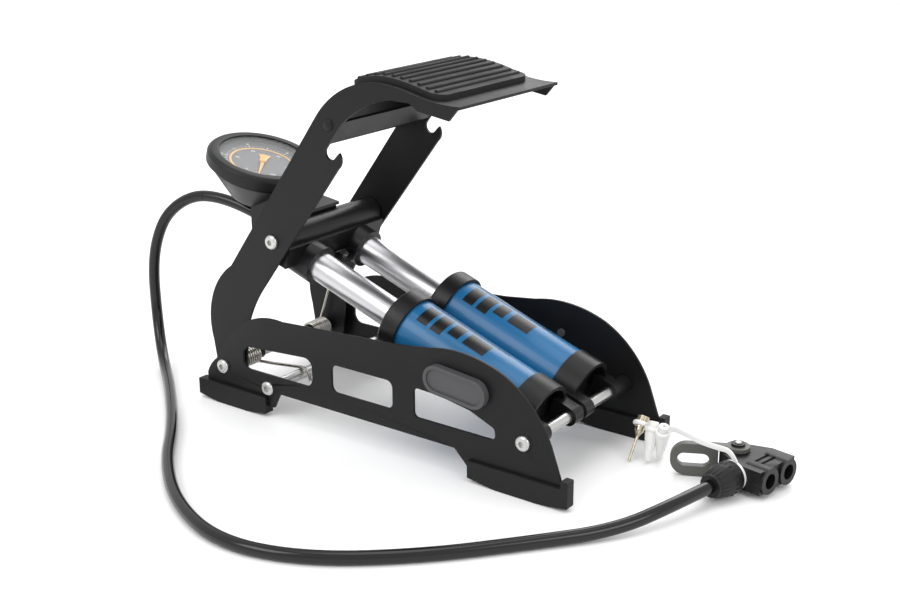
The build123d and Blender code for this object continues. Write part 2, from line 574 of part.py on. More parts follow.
def gauge():
    frame = gauge_frame()
    top, wall = RIM_R - RIM_GRIP, CUP_WALL
    lens_back = LENS_DEPTH + LENS_SHEET
    floor = CUP_DEPTH - wall
    cup = turned((3, -CUP_DEPTH), (3, -floor), (CUP_FOOT_R - wall, -floor), (top - wall, -RIM_DEPTH - 3),
                 (top - wall, -lens_back), (top, -lens_back), (top, -RIM_DEPTH - 3),
                 (CUP_FOOT_R, -CUP_DEPTH))  # fmt: skip
    save("gauge_cup", frame * cup)
    rim = turned((RIM_OPEN_R, 0), (RIM_R - 2.5, 0), (RIM_R, -2.5), (RIM_R, -RIM_DEPTH),
                 (top, -RIM_DEPTH), (top, -LENS_DEPTH), (RIM_OPEN_R, -LENS_DEPTH))  # fmt: skip
    save("gauge_bezel", frame * rim)
    save("gauge_lens", frame * turned((0, -lens_back), (0, -LENS_DEPTH), (top, -LENS_DEPTH), (top, -lens_back)))
    face, back = -DIAL_DEPTH, -DIAL_DEPTH - DIAL_SHEET
    hole = STAFF_R + SLIDING
    save("gauge_dial", frame * turned((hole, back), (hole, face), (top - wall, face), (top - wall, back)))
    movement = turned((0, -floor), (0, back - 1.2), (hole, back - 1.2), (hole, back), (MOVEMENT_R, back),
                      (MOVEMENT_R, -MOVEMENT_DEPTH), (4, -MOVEMENT_DEPTH), (4, -floor))  # fmt: skip
    save("gauge_movement", frame * movement)
    pointer = make_face(Polyline((-NEEDLE_TAIL, -NEEDLE_WIDTH), (-NEEDLE_TAIL, NEEDLE_WIDTH),
                                 (NEEDLE_LENGTH, 0.4), (NEEDLE_LENGTH, -0.4), close=True))  # fmt: skip
    hub_back = face + 0.8
    needle = Pos(0, 0, hub_back) * extrude(pointer, 0.8)
    needle += Pos(0, 0, hub_back + 0.9) * Cylinder(NEEDLE_HUB_R, 1.8)
    needle += turned((0, back - 0.8), (0, hub_back), (STAFF_R, hub_back), (STAFF_R, back - 0.8))
    save("gauge_needle", frame * Rot(0, 0, NEEDLE_REST) * needle)


# ---- Hose ----
def valve_point(x, y, z=VALVE_MID):
    """A point of the valve head's own frame: x to the ports from the lever pin, y across."""
    turn = radians(VALVE_TURN)
    return (VALVE_X + x * cos(turn) - y * sin(turn), VALVE_Y + x * sin(turn) + y * cos(turn), z)


def nut_tail():
    return -VALVE_WIDTH / 2 - BRANCH_GAP - NUT_LENGTH


def hose_route():
    """The hose's corners, chosen by hand: over an arch behind the gauge, down, then on the floor."""
    return [
        (-14, 0, 127.4),
        (-46, -4.5, 140),
        (-80, -12, 138),
        (-102, -18.5, 122.5),
        (-113, -22.5, 99),
        (-117, -24.5, 73),
        (-116, -25, 41.1),
        (-105.1, -32.9, 17.9),
        (-86.4, -46.4, 4.5),
        (-48, -76, 4.5),
        (7, -124, 4.5),
        (51, -171, 4.5),
        (AXLE_SPAN - 166, -209, 4.5),
        (AXLE_SPAN - 109, -228.5, 4.5),
        (AXLE_SPAN - 53, -213, 4.5),
        (AXLE_SPAN - 1, -170, 4.5),
        (AXLE_SPAN + 43, -117, 4.5),
        (AXLE_SPAN + 76, -76, 5.5),
        valve_point(BRANCH_X, nut_tail() - 33),
        valve_point(BRANCH_X, nut_tail() + NUT_GRIP),
    ]


def tangent_radii(points):
    """Each corner's largest fair radius: 0.45 of its shorter run over tan of half the turn."""
    radii = []
    for a, b, c in zip(points, points[1:], points[2:]):
        first, second = Vector(*b) - Vector(*a), Vector(*c) - Vector(*b)
        turn = radians(first.get_angle(second))
        radii.append(0.45 * min(first.length, second.length) / tan(turn / 2))
    return radii


def round_tube(points, radius, radii):
    path = FilletPolyline(*points, radius=radii)
    return sweep(Plane(path @ 0, z_dir=path % 0) * Circle(radius), path=path), path.length


def hose():
    route = hose_route()
    radii = tangent_radii(route)
    print("hose radii", [round(r) for r in radii])
    start, end = Vector(*route[1]), Vector(*route[2])
    way = (end - start).normalized()
    join = start + way * HOSE_JOIN
    after = join + way * JOIN_GAP
    upper, length_up = round_tube([*route[:2], tuple(join)], HOSE_R, radii[:1])
    lower, length_low = round_tube([tuple(after), *route[2:]], HOSE_R, radii[1:])
    for name, solid, length in (("hose_upper", upper, length_up), ("hose_lower", lower, length_low)):
        print(name, "length", round(length, 1), "volume share", round(solid.volume / (pi * HOSE_R**2 * length), 4))
        save(name, solid)
    first = Vector(*route[0])
    aim = (start - first).normalized()
    root = Plane(first - aim * FERRULE_LENGTH, z_dir=aim).location
    grip = 7.0
    fitting = turned((2, 0), (2, FERRULE_LENGTH), (HOSE_R, FERRULE_LENGTH), (HOSE_R, FERRULE_LENGTH + grip),
                     (FERRULE_R, FERRULE_LENGTH + grip), (FERRULE_R, 0))  # fmt: skip
    save("hose_fitting", root * fitting - Pos(NECK_REAR + 20, 0, first.Z) * Box(40, 40, 40))


# ---- Twin valve head ----
def valve_frame():
    return Pos(VALVE_X, VALVE_Y, VALVE_MID) * Rot(0, 0, VALVE_TURN)


def along_x(x_low, x_high, y, radius):
    return Pos((x_low + x_high) / 2, y, 0) * Rot(0, 90, 0) * Cylinder(radius, x_high - x_low)


def branch(y_low, y_high, radius):
    """A round bar out of the side that the hose comes in at."""
    return Pos(BRANCH_X, (y_low + y_high) / 2, 0) * Rot(90, 0, 0) * Cylinder(radius, y_high - y_low)


def valve_body():
    front = Pos((VALVE_START + VALVE_END - 2) / 2, 0) * Rectangle(VALVE_END - 2 - VALVE_START, VALVE_WIDTH)
    plan = make_hull((Circle(VALVE_BACK_R) + front).edges())
    body = Pos(0, 0, -VALVE_HEIGHT / 2) * extrude(plan, VALVE_HEIGHT)
    side = -VALVE_WIDTH / 2 - BRANCH_GAP
    body += branch(side, 0, BRANCH_R) + branch(side - 10, side, HOSE_R - 0.1)
    for y in (-PORT_PITCH / 2, PORT_PITCH / 2):
        body += along_x(VALVE_START + 2, VALVE_END, y, PORT_HOUSING_R)
    for y in (-PORT_PITCH / 2, PORT_PITCH / 2):
        body -= along_x(VALVE_END - PORT_DEPTH, VALVE_END, y, PORT_R)
    return body - Cylinder(PIN_R, 40) - branch(side - 10, -4, 2)


def lever():
    """A fork over the body's back with a looped thumb plate behind it."""
    half = VALVE_HEIGHT / 2 + 0.3
    inner = VALVE_BACK_R + 0.6
    full = 2 * (half + CHEEK_SHEET)
    grip = Pos((inner + LEVER_LENGTH) / 2, 0, 0) * Box(LEVER_LENGTH - inner, LEVER_THICK, full)
    end = grip.edges().filter_by(Axis.Y).group_by(Axis.X)[-1]
    grip = fillet(end, LEVER_END_R)
    hole = Pos((inner + 5 + LEVER_LENGTH - 4) / 2, 0, 0) * Rot(90, 0, 0) * extrude(
        SlotOverall(LOOP_LENGTH, LOOP_WIDTH), LEVER_THICK, both=True
    )
    grip -= hole
    for z in (half + CHEEK_SHEET / 2, -half - CHEEK_SHEET / 2):
        grip += Pos(0, 0, z) * Cylinder(CHEEK_R, CHEEK_SHEET)
        grip += Pos(inner / 2 + 1, 0, z) * Box(inner + 2, LEVER_THICK, CHEEK_SHEET)
    return Rot(0, 0, LEVER_ANGLE - VALVE_TURN) * (grip - Cylinder(PIN_R + RUNNING, 40))


def hose_nut():
    tail = nut_tail()
    body = branch(tail, tail + NUT_LENGTH, NUT_R) & (
        Pos(BRANCH_X, tail, 0) * Rot(-90, 0, 0) * Cone(NUT_TAIL_R, NUT_R + 2.5, NUT_LENGTH,
            align=(Align.CENTER, Align.CENTER, Align.MIN))  # fmt: skip
    )
    return body - branch(tail, tail + NUT_GRIP, HOSE_R) - branch(tail, tail + NUT_LENGTH, HOSE_R - 0.1)


def valve_head():
    frame = valve_frame()
    save("valve_head_body", frame * valve_body())
    rings = []
    for y, bore in ((-PORT_PITCH / 2, SEAL_LARGE_R), (PORT_PITCH / 2, SEAL_SMALL_R)):
        deep = VALVE_END - SEAL_DEPTH
        rings.append(frame * (along_x(deep - 3, deep, y, PORT_R) - along_x(deep - 3, deep, y, bore)))
    save("port_seals", Compound(rings))
    save("valve_lever", frame * lever())
    top = VALVE_HEIGHT / 2 + 0.3 + CHEEK_SHEET + 0.3
    pin = Cylinder(PIN_R, 2 * top) + Pos(0, 0, top + PIN_HEAD / 2) * Cylinder(PIN_HEAD_R, PIN_HEAD)
    save("lever_pin", frame * (pin & Pos(0, 0, 1) * Box(20, 20, 25.4)))
    save("hose_nut", frame * hose_nut())


# ---- Adaptors ----
def placed(tip, top):
    """A frame at the tip with z towards the top."""
    start, end = Vector(*tip), Vector(*top)
    return Plane(start, z_dir=(end - start).normalized()).location


def adaptors():
    frame = valve_frame()
    side = -VALVE_WIDTH / 2 - BRANCH_GAP
    ring = branch(side, side + BRANCH_GAP - 0.2, STRAP_RING_R) - branch(side, side + BRANCH_GAP, BRANCH_R)
    save("strap_ring", frame * ring)
    length = (Vector(*NEEDLE_TOP) - Vector(*NEEDLE_TIP)).length
    needle = turned((0, 0), (0, length), (4, length), (4, length - 8), (3.2, length - 8), (3.2, length - 10.5),
                    (1.6, length - 13), (1, length - 15), (1, 0))  # fmt: skip
    save("ball_needle", placed(NEEDLE_TIP, NEEDLE_TOP) * needle)
    cones = []
    for tip, top in zip(CONE_TIPS, CONE_TOPS):
        reach = (Vector(*top) - Vector(*tip)).length
        cone = turned((1.2, 0), (1.2, reach), (3.6, reach), (3.6, reach - 7), (4.6, reach - 7),
                      (4.6, reach - 9), (2, 0))  # fmt: skip
        cones.append(placed(tip, top) * cone)
    save("cone_adaptors", Compound(cones))
    nut = branch(side - 9, side, NUT_R) + branch(side, side + BRANCH_GAP, STRAP_RING_R)
    cord = strap() - frame * nut - placed(NEEDLE_TIP, NEEDLE_TOP) * needle
    for cone in cones:
        cord -= cone
    save("adaptor_strap", cord)


def strap():
    """Three rings on the adaptors' necks and the cord that ties them to the valve head."""
    start = Vector(*valve_point(BRANCH_X, -VALVE_WIDTH / 2 - BRANCH_GAP / 2, VALVE_MID + STRAP_RING_R))
    tops = [NEEDLE_TOP, *CONE_TOPS]
    tips = [NEEDLE_TIP, *CONE_TIPS]
    shape = None
    centres = []
    for tip, top in zip(tips, tops):
        along = (Vector(*top) - Vector(*tip)).normalized()
        reach = (Vector(*top) - Vector(*tip)).length
        collar = placed(tip, top) * Pos(0, 0, reach - 5.5) * Cylinder(HOLDER_R, HOLDER_HEIGHT)
        centres.append(Vector(*tip) + along * (reach - 5.5))
        shape = collar if shape is None else shape + collar
    for a, b in zip(centres, centres[1:]):
        shape += wire(Line(tuple(a), tuple(b)), STRAP_R)
    last = centres[-1]
    path = Polyline(
        tuple(start - Vector(0, 0, 1)),
        (start.X - 7, start.Y - 1, STRAP_LIFT),
        (start.X - 22, start.Y, STRAP_LIFT + 1),
        (last.X + 10, last.Y - 3, STRAP_LIFT + 1),
        (last.X + 4.8, last.Y, last.Z),
    )
    shape += wire(path, STRAP_R)
    for tip, top, bore in zip(tips, tops, (4.0, 3.6, 3.6)):
        shape -= placed(tip, top) * Cylinder(bore, 200)
    return shape


if __name__ == "__main__":
    os.makedirs("parts", exist_ok=True)
    base()
    axles()
    pedal()
    springs()
    barrels()
    pumping_rods()
    head()
    gauge()
    hose()
    valve_head()
    adaptors()
    print("moved by", round(-CENTRE_X, 3), "lean", round(degrees(LEAN), 4), "middle at s", round(MIDDLE_S, 3))
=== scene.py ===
# %% [markdown]
# # A foot air pump, built step by step
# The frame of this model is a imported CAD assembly. This lesson dresses it: each cell says what a
# piece or finish is on the real pump, how it could be made, and why it is made this way.
# All sizes are in metres, and the pump stands on z = 0.

import json
from math import atan2, cos, degrees, pi, radians, sin

import bmesh
import bpy
from mathutils import Matrix, Vector


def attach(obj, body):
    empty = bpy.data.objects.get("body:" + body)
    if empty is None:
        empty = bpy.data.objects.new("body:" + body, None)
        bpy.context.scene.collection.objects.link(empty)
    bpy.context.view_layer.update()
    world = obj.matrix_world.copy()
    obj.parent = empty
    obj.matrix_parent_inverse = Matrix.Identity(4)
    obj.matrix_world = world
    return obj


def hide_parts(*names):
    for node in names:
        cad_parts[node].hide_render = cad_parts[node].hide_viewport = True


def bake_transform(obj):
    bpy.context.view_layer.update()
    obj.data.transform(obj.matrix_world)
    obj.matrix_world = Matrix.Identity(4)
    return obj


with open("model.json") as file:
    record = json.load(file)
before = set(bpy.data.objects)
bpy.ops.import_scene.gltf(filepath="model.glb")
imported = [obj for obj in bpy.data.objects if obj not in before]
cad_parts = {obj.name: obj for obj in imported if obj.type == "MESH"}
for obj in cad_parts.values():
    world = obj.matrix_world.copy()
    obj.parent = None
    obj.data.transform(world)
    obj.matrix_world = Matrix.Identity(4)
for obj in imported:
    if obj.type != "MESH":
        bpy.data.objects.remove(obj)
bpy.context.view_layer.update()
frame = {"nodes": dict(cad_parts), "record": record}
print("loaded", len(frame["nodes"]), "CAD nodes")

# %% [markdown]
# The pump was drawn in millimetres from the middle of its rear pivot. `place` turns such a point
# into the frame's metres, so the numbers below can be read as a maker's drawing.

# %% A helper for places
MM = 0.001
SHIFT_X = 124.717  # from the rear pivot to the middle of the pump


def place(x, y, z):
    """A point of the pump's drawing, in the frame's metres."""
    return Vector(((x - SHIFT_X) * MM, y * MM, z * MM))


BODIES = frame["record"]["behaviour"]["bodies"]
BODY_OF = {node: body for body, nodes in BODIES.items() for node in nodes}
SLOT_OF = {s["node"]: s["material_slot"] for s in frame["record"]["subparts"]}

# %% [markdown]
# ## Camera
# The camera comes first, because everything after it is judged through it. It stands to the
# pump's left and in front, well above it, with a moderately long lens so that lines stay calm.

# %% Camera
camera_data = bpy.data.cameras.new("camera")
camera = bpy.data.objects.new("camera", camera_data)
bpy.context.collection.objects.link(camera)
camera.location = place(722.65, -746.73, 408.43)
camera.rotation_euler = (radians(90 - 18.505), radians(0.272), radians(36.76))
camera_data.lens = 56.22
camera_data.sensor_width = 36
camera_data.clip_start = 0.01
bpy.context.scene.camera = camera
print("camera at", [round(v, 3) for v in camera.location])

# %% [markdown]
# ## Hose
# The hose is one smooth rubber tube. It leaves the head behind the gauge, arches over, drops to
# the floor and sweeps round the pump's left side to the valve head. A NURBS curve with a round
# bevel gives an even tube with few points. It is two pieces, because the first one rides with
# the head when the pedal folds.

# %% Hose routes
HOSE_RADIUS = 4.4 * MM
ARCH = [(-14, 0, 127.4), (-46, -4.5, 140)]
DROP = [
    (-80, -12, 138),
    (-102, -18.5, 122.5),
    (-113, -22.5, 99),
    (-117, -24.5, 73),
    (-116, -25, 41.1),
    (-105.1, -32.9, 17.9),
    (-86.4, -46.4, 4.5),
    (-48, -76, 4.5),
    (7, -124, 4.5),
    (51, -171, 4.5),
    (103, -209, 4.5),
    (160, -228.5, 4.5),
    (216, -213, 4.5),
    (268, -170, 4.5),
    (312, -117, 4.5),
    (345, -76, 5.5),
]
VALVE_PIN = (366.5, 44.0, 12.0)
VALVE_TURN = radians(-10)


def valve_point(x, y, z=0.0):
    """A point of the valve head's own frame: x from its lever pin to the ports, y across."""
    c, s = cos(VALVE_TURN), sin(VALVE_TURN)
    return (VALVE_PIN[0] + x * c - y * s, VALVE_PIN[1] + x * s + y * c, VALVE_PIN[2] + z)


BRANCH_X, NUT_TAIL = 10.7, -44.2
DROP += [valve_point(BRANCH_X, NUT_TAIL - 33), valve_point(BRANCH_X, NUT_TAIL + 8)]
second_run = (Vector(DROP[0]) - Vector(ARCH[1])).normalized()
JOIN = Vector(ARCH[1]) + second_run * 22
AFTER = JOIN + second_run * 0.3
print("hose drops with", len(DROP), "points")

# %% Hose curves


def tube_curve(name, points, radius):
    """A NURBS tube through control points of the drawing."""
    curve = bpy.data.curves.new(name, "CURVE")
    curve.dimensions = "3D"
    spline = curve.splines.new("NURBS")
    spline.points.add(len(points) - 1)
    for spot, point in zip(spline.points, points):
        spot.co = (*place(*point), 1)
        spot.radius = radius
    spline.order_u = 3
    spline.use_endpoint_u = True
    curve.resolution_u = 16
    curve.bevel_depth = 1
    curve.bevel_resolution = 7
    curve.use_fill_caps = True
    obj = bpy.data.objects.new(name, curve)
    bpy.context.collection.objects.link(obj)
    return obj


def curve_length(obj):
    """The length of a curve's own line, measured on a copy with no bevel."""
    copy = obj.copy()
    copy.data = obj.data.copy()
    copy.data.bevel_depth = 0
    bpy.context.collection.objects.link(copy)
    bpy.context.view_layer.update()
    mesh = bpy.data.meshes.new_from_object(copy.evaluated_get(bpy.context.evaluated_depsgraph_get()))
    total = 0
    for edge in mesh.edges:
        first, last = [mesh.vertices[k].co for k in edge.vertices]
        total += (last - first).length
    bpy.data.meshes.remove(mesh)
    bpy.data.objects.remove(copy)
    return total


hose_arch = tube_curve("hose_arch", [*ARCH, tuple(JOIN)], HOSE_RADIUS)
hose_drop = tube_curve("hose_drop", [tuple(AFTER), *DROP], HOSE_RADIUS)
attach(hose_arch, "head")
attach(hose_drop, "base")
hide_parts("hose_upper")
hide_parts("hose_lower")
ARCH_LENGTH, DROP_LENGTH = curve_length(hose_arch), curve_length(hose_drop)
print("hose lengths", round(ARCH_LENGTH, 4), round(DROP_LENGTH, 4))

# %% [markdown]
# ## Stage and light
# A plain pale floor that runs into a pale background. Three large soft lamps: one high in front
# on the left, one on the right, and one behind to rim the black parts, which would otherwise
# read as flat silhouettes.

# %% Floor
bpy.ops.object.select_all(action="DESELECT")
bpy.ops.mesh.primitive_plane_add(size=60, location=(0, 0, 0))
floor = bpy.context.object
floor.name = "floor"
floor_paint = bpy.data.materials.new("floor_paint")
floor_paint.use_nodes = True
floor_shader = floor_paint.node_tree.nodes["Principled BSDF"]
floor_shader.inputs["Base Color"].default_value = (0.98, 0.98, 0.98, 1)
floor_shader.inputs["Roughness"].default_value = 0.55
floor.data.materials.append(floor_paint)

# %% Lamps


def lamp(name, where, aim, size, power):
    """A square area lamp pointed at a place."""
    data = bpy.data.lights.new(name, "AREA")
    data.size = size
    data.energy = power
    obj = bpy.data.objects.new(name, data)
    bpy.context.collection.objects.link(obj)
    obj.location = where
    obj.rotation_euler = (Vector(aim) - Vector(where)).to_track_quat("-Z", "Y").to_euler()
    return obj


lamp("key_lamp", (-0.5, -1.6, 1.5), (0, 0, 0.1), 1.0, 12)
lamp("side_lamp", (1.7, -0.3, 1.1), (0, 0, 0.1), 0.8, 7)
lamp("rim_lamp", (-0.4, 1.7, 1.3), (0, 0, 0.1), 1.2, 14)
lamp("top_lamp", (0.1, 0.0, 2.2), (0, 0, 0.0), 1.2, 8)
world = bpy.data.worlds.new("studio")
bpy.context.scene.world = world
world.use_nodes = True
world.node_tree.nodes["Background"].inputs["Color"].default_value = (1, 1, 1, 1)
world.node_tree.nodes["Background"].inputs["Strength"].default_value = 1.0
bpy.context.scene.view_settings.view_transform = "Standard"
print("stage is lit")

# %% [markdown]
# ## Shared surface effects
# Powder coat, moulded plastic and rubber all show a fine texture that breaks their highlights.
# It could be painted as an image, but a node group keeps it sharp at any distance. The group
# gives a height for a Bump node and a mask that varies the roughness and the colour.

# %% Grain group


def new_group(name, inputs, outputs):
    """An empty shader group with named sockets."""
    group = bpy.data.node_groups.new(name, "ShaderNodeTree")
    for label, default in inputs:
        socket = group.interface.new_socket(name=label, in_out="INPUT", socket_type="NodeSocketFloat")
        socket.default_value = default
    for label in outputs:
        group.interface.new_socket(name=label, in_out="OUTPUT", socket_type="NodeSocketFloat")
    ends = group.nodes.new("NodeGroupInput"), group.nodes.new("NodeGroupOutput")
    return group, *ends


GRAIN_INPUTS = [("Scale", 900.0), ("Patch Scale", 30.0)]
grain, grain_in, grain_out = new_group("grain", GRAIN_INPUTS, ["Height", "Patches"])
grain_place = grain.nodes.new("ShaderNodeTexCoord")
fine = grain.nodes.new("ShaderNodeTexNoise")
fine.inputs["Detail"].default_value = 3
fine.inputs["Roughness"].default_value = 0.6
patch = grain.nodes.new("ShaderNodeTexNoise")
patch.inputs["Detail"].default_value = 4
for texture, scale in ((fine, "Scale"), (patch, "Patch Scale")):
    grain.links.new(grain_place.outputs["Object"], texture.inputs["Vector"])
    grain.links.new(grain_in.outputs[scale], texture.inputs["Scale"])
grain.links.new(fine.outputs["Fac"], grain_out.inputs["Height"])
grain.links.new(patch.outputs["Fac"], grain_out.inputs["Patches"])
print("grain group ready")

# %% [markdown]
# Turned and drawn metal shows fine lines. `lines` stretches a noise along one direction of the
# pump, given as an angle about y, so that the tubes' lines run round them and the screws'
# across.

# %% Lines group
lines, lines_in, lines_out = new_group("drawn_lines", [("Scale", 60.0), ("Lean", 0.0)], ["Height"])
lines_place = lines.nodes.new("ShaderNodeTexCoord")
lines_turn = lines.nodes.new("ShaderNodeMapping")
lines_turn.inputs["Scale"].default_value = (60, 1.2, 1.2)
lean = lines.nodes.new("ShaderNodeCombineXYZ")
lines.links.new(lines_in.outputs["Lean"], lean.inputs["Y"])
lines.links.new(lean.outputs["Vector"], lines_turn.inputs["Rotation"])
lines.links.new(lines_place.outputs["Object"], lines_turn.inputs["Vector"])
streaks = lines.nodes.new("ShaderNodeTexNoise")
streaks.inputs["Detail"].default_value = 2
lines.links.new(lines_turn.outputs["Vector"], streaks.inputs["Vector"])
lines.links.new(lines_in.outputs["Scale"], streaks.inputs["Scale"])
lines.links.new(streaks.outputs["Fac"], lines_out.inputs["Height"])

# %% [markdown]
# ## Materials
# One function builds every moulded, painted or rubber finish: two near colours mixed by the slow
# patches, roughness from the same patches, and the fine grain as bump.

# %% A finish


def ramp(tree, source, low, high):
    """Maps a 0 to 1 value to a range."""
    node = tree.nodes.new("ShaderNodeMapRange")
    node.inputs["From Min"].default_value = 0.3
    node.inputs["From Max"].default_value = 0.7
    node.inputs["To Min"].default_value = low
    node.inputs["To Max"].default_value = high
    tree.links.new(source, node.inputs["Value"])
    return node.outputs["Result"]


def finish(name, color, color_two, rough, bump, scale=900.0, patch_scale=30.0, coat=0.0, gloss=0.5):
    """A material with a grained surface. rough is (lowest, highest)."""
    material = bpy.data.materials.new(name)
    material.use_nodes = True
    tree = material.node_tree
    shader = tree.nodes["Principled BSDF"]
    group = tree.nodes.new("ShaderNodeGroup")
    group.node_tree = grain
    group.inputs["Scale"].default_value = scale
    group.inputs["Patch Scale"].default_value = patch_scale
    mix = tree.nodes.new("ShaderNodeMix")
    mix.data_type = "RGBA"
    mix.inputs["A"].default_value = (*color, 1)
    mix.inputs["B"].default_value = (*color_two, 1)
    tree.links.new(group.outputs["Patches"], mix.inputs["Factor"])
    tree.links.new(mix.outputs["Result"], shader.inputs["Base Color"])
    tree.links.new(ramp(tree, group.outputs["Patches"], *rough), shader.inputs["Roughness"])
    relief = tree.nodes.new("ShaderNodeBump")
    relief.inputs["Strength"].default_value = bump
    relief.inputs["Distance"].default_value = 0.0002
    tree.links.new(group.outputs["Height"], relief.inputs["Height"])
    tree.links.new(relief.outputs["Normal"], shader.inputs["Normal"])
    shader.inputs["Specular IOR Level"].default_value = gloss
    shader.inputs["Coat Weight"].default_value = coat
    shader.inputs["Coat Roughness"].default_value = 0.08
    return material


FINISHES = {
    "black_steel": finish(
        "powder_coat", (0.005, 0.005, 0.0055), (0.009, 0.009, 0.01),
        (0.36, 0.48), 0.35, 1400, 25, gloss=0.22,
    ),
    "foot_plastic": finish(
        "foot_plastic", (0.006, 0.006, 0.0065), (0.012, 0.012, 0.013),
        (0.5, 0.62), 0.5, 1100, 40, gloss=0.25,
    ),
    "black_plastic": finish(
        "black_plastic", (0.005, 0.005, 0.0055), (0.01, 0.01, 0.011),
        (0.32, 0.46), 0.25, 1200, 35, gloss=0.28,
    ),
    "gauge_plastic": finish(
        "gauge_plastic", (0.007, 0.007, 0.0075), (0.013, 0.013, 0.014),
        (0.4, 0.52), 0.3, 1000, 30, gloss=0.28,
    ),
    "badge_plastic": finish(
        "badge_plastic", (0.06, 0.06, 0.063), (0.085, 0.085, 0.089),
        (0.42, 0.52), 0.3, 1000, 30, gloss=0.3,
    ),
    "pad_rubber": finish(
        "pad_rubber", (0.009, 0.009, 0.0095), (0.018, 0.018, 0.019),
        (0.55, 0.72), 0.6, 700, 45, gloss=0.3,
    ),
    "seal_rubber": finish("seal_rubber", (0.006, 0.006, 0.006), (0.01, 0.01, 0.01), (0.5, 0.65), 0.3),
    "hose_rubber": finish(
        "hose_rubber", (0.003, 0.003, 0.0033), (0.006, 0.006, 0.0065),
        (0.13, 0.22), 0.12, 500, 18, gloss=0.4,
    ),
    "lever_plastic": finish(
        "lever_plastic", (0.072, 0.075, 0.066), (0.095, 0.098, 0.086),
        (0.4, 0.5), 0.25,
    ),
    "white_plastic": finish("white_plastic", (0.78, 0.78, 0.76), (0.86, 0.86, 0.85), (0.3, 0.42), 0.15),
    "orange_plastic": finish(
        "orange_plastic", (0.82, 0.42, 0.05), (0.92, 0.5, 0.08),
        (0.35, 0.45), 0.1,
    ),
    "blue_paint": finish(
        "blue_paint", (0.008, 0.115, 0.27), (0.013, 0.14, 0.32),
        (0.3, 0.38), 0.05, 600, 15, coat=0.15, gloss=0.35,
    ),
    "dial_face": finish(
        "dial_face", (0.075, 0.077, 0.09), (0.1, 0.102, 0.115),
        (0.4, 0.5), 0.1, 900, 60,
    ),
}
print("finishes", len(FINISHES))

# %% [markdown]
# Metal is a different job: its colour is its reflection. The bump of drawn lines stretches the
# highlights across the zinc, while chrome keeps only a trace of them.

# %% Metals


def metal(name, color, rough, bump, lean=0.0, scale=60.0):
    """A metal with fine drawn lines."""
    material = bpy.data.materials.new(name)
    material.use_nodes = True
    tree = material.node_tree
    shader = tree.nodes["Principled BSDF"]
    shader.inputs["Metallic"].default_value = 1
    tone = tree.nodes.new("ShaderNodeGroup")
    tone.node_tree = grain
    tone.inputs["Scale"].default_value = 800
    mix = tree.nodes.new("ShaderNodeMix")
    mix.data_type = "RGBA"
    mix.inputs["A"].default_value = (*[0.86 * c for c in color], 1)
    mix.inputs["B"].default_value = (*color, 1)
    tree.links.new(tone.outputs["Patches"], mix.inputs["Factor"])
    tree.links.new(mix.outputs["Result"], shader.inputs["Base Color"])
    tree.links.new(ramp(tree, tone.outputs["Patches"], *rough), shader.inputs["Roughness"])
    group = tree.nodes.new("ShaderNodeGroup")
    group.node_tree = lines
    group.inputs["Scale"].default_value = scale
    group.inputs["Lean"].default_value = lean
    relief = tree.nodes.new("ShaderNodeBump")
    relief.inputs["Strength"].default_value = bump
    relief.inputs["Distance"].default_value = 0.0002
    tree.links.new(group.outputs["Height"], relief.inputs["Height"])
    tree.links.new(relief.outputs["Normal"], shader.inputs["Normal"])
    return material


BARREL_LEAN = radians(19.5369)
FINISHES["chrome_tube"] = metal("chrome", (0.66, 0.66, 0.68), (0.3, 0.36), 0.04, BARREL_LEAN)
FINISHES["zinc_steel"] = metal("zinc", (0.6, 0.6, 0.59), (0.25, 0.4), 0.15)
FINISHES["spring_steel"] = metal("spring_wire", (0.55, 0.53, 0.49), (0.22, 0.34), 0.1)
FINISHES["brass"] = metal("brass", (0.65, 0.48, 0.2), (0.25, 0.35), 0.1)
FINISHES["nickel_brass"] = metal("nickel", (0.62, 0.56, 0.42), (0.2, 0.32), 0.1)

# %% [markdown]
# The gauge's lens is thin clear plastic. A low roughness and a low alpha are enough, so the
# dial shows through it.

# %% Lens
lens = bpy.data.materials.new("lens")
lens.use_nodes = True
lens_tree = lens.node_tree
lens_shader = lens_tree.nodes["Principled BSDF"]
lens_shader.inputs["Base Color"].default_value = (0.97, 0.98, 0.98, 1)
lens_shader.inputs["Roughness"].default_value = 0.05
lens_shader.inputs["IOR"].default_value = 1.3
lens_shader.inputs["Alpha"].default_value = 0.1
FINISHES["clear_lens"] = lens

for node, obj in frame["nodes"].items():
    chosen = FINISHES[SLOT_OF[node]]
    if not obj.material_slots:
        obj.data.materials.append(chosen)
    for material_slot in obj.material_slots:
        material_slot.material = chosen
hose_arch.data.materials.append(FINISHES["hose_rubber"])
hose_drop.data.materials.append(FINISHES["hose_rubber"])
print("every CAD node has a finish")

# %% [markdown]
# ## Softened edges
# No pressed, moulded or turned part has a perfectly sharp edge: the thin bright line along its
# edges is what makes it look solid. The CAD nodes are loose triangles with sharp edges, so a
# copy is merged, given a small bevel where faces meet at an angle, and stands for the node.

# %% A helper that softens


def bare(obj):
    """Selects one object only and makes it active."""
    bpy.ops.object.select_all(action="DESELECT")
    bpy.context.view_layer.objects.active = obj
    obj.select_set(True)


def apply_modifier(obj, kind, **settings):
    """Adds a modifier, sets it and applies it."""
    bare(obj)
    bpy.ops.object.modifier_add(type=kind)
    modifier = obj.modifiers[-1]
    for key, value in settings.items():
        setattr(modifier, key, value)
    bpy.ops.object.modifier_apply(modifier=modifier.name)


def belongs(obj, body, slot, *nodes):
    """Gives a new piece its body, its finish and the nodes that it stands for."""
    if not obj.data.materials:
        obj.data.materials.append(FINISHES[slot])
    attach(obj, body)
    if nodes:
        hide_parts(*nodes)


